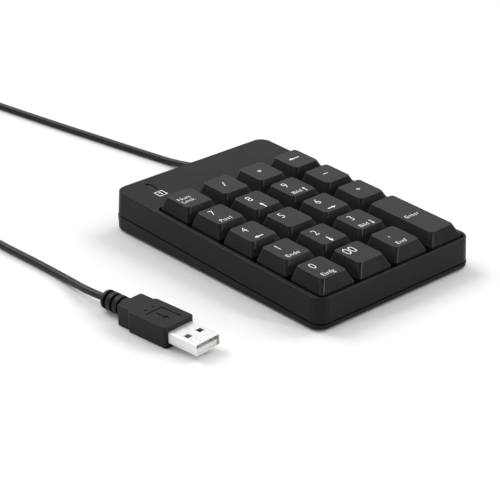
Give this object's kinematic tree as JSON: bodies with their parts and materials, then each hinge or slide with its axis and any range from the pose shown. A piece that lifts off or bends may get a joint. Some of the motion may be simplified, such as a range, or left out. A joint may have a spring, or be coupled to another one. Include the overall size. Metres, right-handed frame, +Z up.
{
  "type": "numeric keypad",
  "caption": "Wired numeric keypad with a wedge-shaped case, sprung keys, a tall enter key, a cord and a plug.",
  "frame": {"origin": "on the desk under the middle of the case, without the cord and what is on it", "axes": "+X to the user's right, +Y towards the back edge that the cord leaves, +Z up"},
  "size_m": [0.1309, 0.302, 0.022],
  "materials": {
    "case_plastic": "fine textured, charcoal",
    "key_plastic": "fine textured, charcoal",
    "silicone": "soft, translucent grey",
    "foil": "clear polyester with printed tracks",
    "plate_steel": "bright sheet steel",
    "board_laminate": "green solder mask",
    "chip_plastic": "moulded black",
    "clear_lens": "smoky clear",
    "header_plastic": "off-white moulding",
    "cord_jacket": "flexible jacket, satin",
    "screw_steel": "bright plated",
    "foot_rubber": "matt grip rubber",
    "plug_plastic": "satin moulding",
    "plug_metal": "bright nickel, brushed",
    "contact_gold": "gold plated",
    "legend_ink": "white printing ink of the key legends"
  },
  "bodies": {
    "case": {"upper_cover": "case_plastic", "lower_cover": "case_plastic", "dome_sheet": "silicone", "membrane_top_foil": "foil", "membrane_spacer_foil": "foil", "membrane_bottom_foil": "foil", "backing_plate": "plate_steel", "controller_board": "board_laminate", "tail_clamp_bar": "plate_steel", "tail_pressure_pad": "silicone", "controller_chip": "chip_plastic", "board_capacitors": "chip_plastic", "num_lock_led": "clear_lens", "led_light_guide": "clear_lens", "cord_header": "header_plastic", "cord_wires": "cord_jacket", "case_screws": "screw_steel", "board_screws": "screw_steel", "rubber_feet": "foot_rubber", "cord_strain_relief": "cord_jacket", "cord_from_keypad": "cord_jacket", "cord_coil": "cord_jacket", "cord_tie": "cord_jacket", "cord_to_plug": "cord_jacket", "plug_overmould": "plug_plastic", "plug_shell": "plug_metal", "plug_tongue": "header_plastic", "plug_contacts": "contact_gold"},
    "key_0_body": {"key_0": "key_plastic"},
    "key_00_body": {"key_00": "key_plastic"},
    "key_decimal_body": {"key_decimal": "key_plastic"},
    "key_1_body": {"key_1": "key_plastic"},
    "key_2_body": {"key_2": "key_plastic"},
    "key_3_body": {"key_3": "key_plastic"},
    "key_4_body": {"key_4": "key_plastic"},
    "key_5_body": {"key_5": "key_plastic"},
    "key_6_body": {"key_6": "key_plastic"},
    "key_plus_body": {"key_plus": "key_plastic"},
    "key_7_body": {"key_7": "key_plastic"},
    "key_8_body": {"key_8": "key_plastic"},
    "key_9_body": {"key_9": "key_plastic"},
    "key_minus_body": {"key_minus": "key_plastic"},
    "key_num_lock_body": {"key_num_lock": "key_plastic"},
    "key_divide_body": {"key_divide": "key_plastic"},
    "key_multiply_body": {"key_multiply": "key_plastic"},
    "key_backspace_body": {"key_backspace": "key_plastic"},
    "key_enter_body": {"key_enter": "key_plastic"},
    "enter_wire_body": {"enter_stabiliser_wire": "plate_steel"}
  },
  "joints": [
    {"name": "key_0_press", "type": "slide", "parent": "case", "child": "key_0_body", "axis": [0, 0.0354, -0.9994], "range_m": [0, 0.003], "stiffness_N_per_m": 150, "springref_m": -0.0015, "deforming": ["dome_sheet"]},
    {"name": "key_00_press", "type": "slide", "parent": "case", "child": "key_00_body", "axis": [0, 0.0354, -0.9994], "range_m": [0, 0.003], "stiffness_N_per_m": 150, "springref_m": -0.0015, "deforming": ["dome_sheet"]},
    {"name": "key_decimal_press", "type": "slide", "parent": "case", "child": "key_decimal_body", "axis": [0, 0.0354, -0.9994], "range_m": [0, 0.003], "stiffness_N_per_m": 150, "springref_m": -0.0015, "deforming": ["dome_sheet"]},
    {"name": "key_1_press", "type": "slide", "parent": "case", "child": "key_1_body", "axis": [0, 0.0354, -0.9994], "range_m": [0, 0.003], "stiffness_N_per_m": 150, "springref_m": -0.0015, "deforming": ["dome_sheet"]},
    {"name": "key_2_press", "type": "slide", "parent": "case", "child": "key_2_body", "axis": [0, 0.0354, -0.9994], "range_m": [0, 0.003], "stiffness_N_per_m": 150, "springref_m": -0.0015, "deforming": ["dome_sheet"]},
    {"name": "key_3_press", "type": "slide", "parent": "case", "child": "key_3_body", "axis": [0, 0.0354, -0.9994], "range_m": [0, 0.003], "stiffness_N_per_m": 150, "springref_m": -0.0015, "deforming": ["dome_sheet"]},
    {"name": "key_4_press", "type": "slide", "parent": "case", "child": "key_4_body", "axis": [0, 0.0354, -0.9994], "range_m": [0, 0.003], "stiffness_N_per_m": 150, "springref_m": -0.0015, "deforming": ["dome_sheet"]},
    {"name": "key_5_press", "type": "slide", "parent": "case", "child": "key_5_body", "axis": [0, 0.0354, -0.9994], "range_m": [0, 0.003], "stiffness_N_per_m": 150, "springref_m": -0.0015, "deforming": ["dome_sheet"]},
    {"name": "key_6_press", "type": "slide", "parent": "case", "child": "key_6_body", "axis": [0, 0.0354, -0.9994], "range_m": [0, 0.003], "stiffness_N_per_m": 150, "springref_m": -0.0015, "deforming": ["dome_sheet"]},
    {"name": "key_plus_press", "type": "slide", "parent": "case", "child": "key_plus_body", "axis": [0, 0.0354, -0.9994], "range_m": [0, 0.003], "stiffness_N_per_m": 150, "springref_m": -0.0015, "deforming": ["dome_sheet"]},
    {"name": "key_7_press", "type": "slide", "parent": "case", "child": "key_7_body", "axis": [0, 0.0354, -0.9994], "range_m": [0, 0.003], "stiffness_N_per_m": 150, "springref_m": -0.0015, "deforming": ["dome_sheet"]},
    {"name": "key_8_press", "type": "slide", "parent": "case", "child": "key_8_body", "axis": [0, 0.0354, -0.9994], "range_m": [0, 0.003], "stiffness_N_per_m": 150, "springref_m": -0.0015, "deforming": ["dome_sheet"]},
    {"name": "key_9_press", "type": "slide", "parent": "case", "child": "key_9_body", "axis": [0, 0.0354, -0.9994], "range_m": [0, 0.003], "stiffness_N_per_m": 150, "springref_m": -0.0015, "deforming": ["dome_sheet"]},
    {"name": "key_minus_press", "type": "slide", "parent": "case", "child": "key_minus_body", "axis": [0, 0.0354, -0.9994], "range_m": [0, 0.003], "stiffness_N_per_m": 150, "springref_m": -0.0015, "deforming": ["dome_sheet"]},
    {"name": "key_num_lock_press", "type": "slide", "parent": "case", "child": "key_num_lock_body", "axis": [0, 0.0354, -0.9994], "range_m": [0, 0.003], "stiffness_N_per_m": 150, "springref_m": -0.0015, "deforming": ["dome_sheet"]},
    {"name": "key_divide_press", "type": "slide", "parent": "case", "child": "key_divide_body", "axis": [0, 0.0354, -0.9994], "range_m": [0, 0.003], "stiffness_N_per_m": 150, "springref_m": -0.0015, "deforming": ["dome_sheet"]},
    {"name": "key_multiply_press", "type": "slide", "parent": "case", "child": "key_multiply_body", "axis": [0, 0.0354, -0.9994], "range_m": [0, 0.003], "stiffness_N_per_m": 150, "springref_m": -0.0015, "deforming": ["dome_sheet"]},
    {"name": "key_backspace_press", "type": "slide", "parent": "case", "child": "key_backspace_body", "axis": [0, 0.0354, -0.9994], "range_m": [0, 0.003], "stiffness_N_per_m": 150, "springref_m": -0.0015, "deforming": ["dome_sheet"]},
    {"name": "key_enter_press", "type": "slide", "parent": "case", "child": "key_enter_body", "axis": [0, 0.0354, -0.9994], "range_m": [0, 0.003], "stiffness_N_per_m": 150, "springref_m": -0.0015, "deforming": ["dome_sheet"]},
    {"name": "enter_wire_rock", "type": "hinge", "parent": "case", "child": "enter_wire_body", "pos_m": [0.03327, -0.04079, 0.01162], "axis": [0, -0.9994, -0.0354], "range_deg": [0, 17.3]}
  ],
  "couplings": [
    {"joint": "enter_wire_rock", "follows": "key_enter_press", "rad_per_m": 100.38}
  ]
}
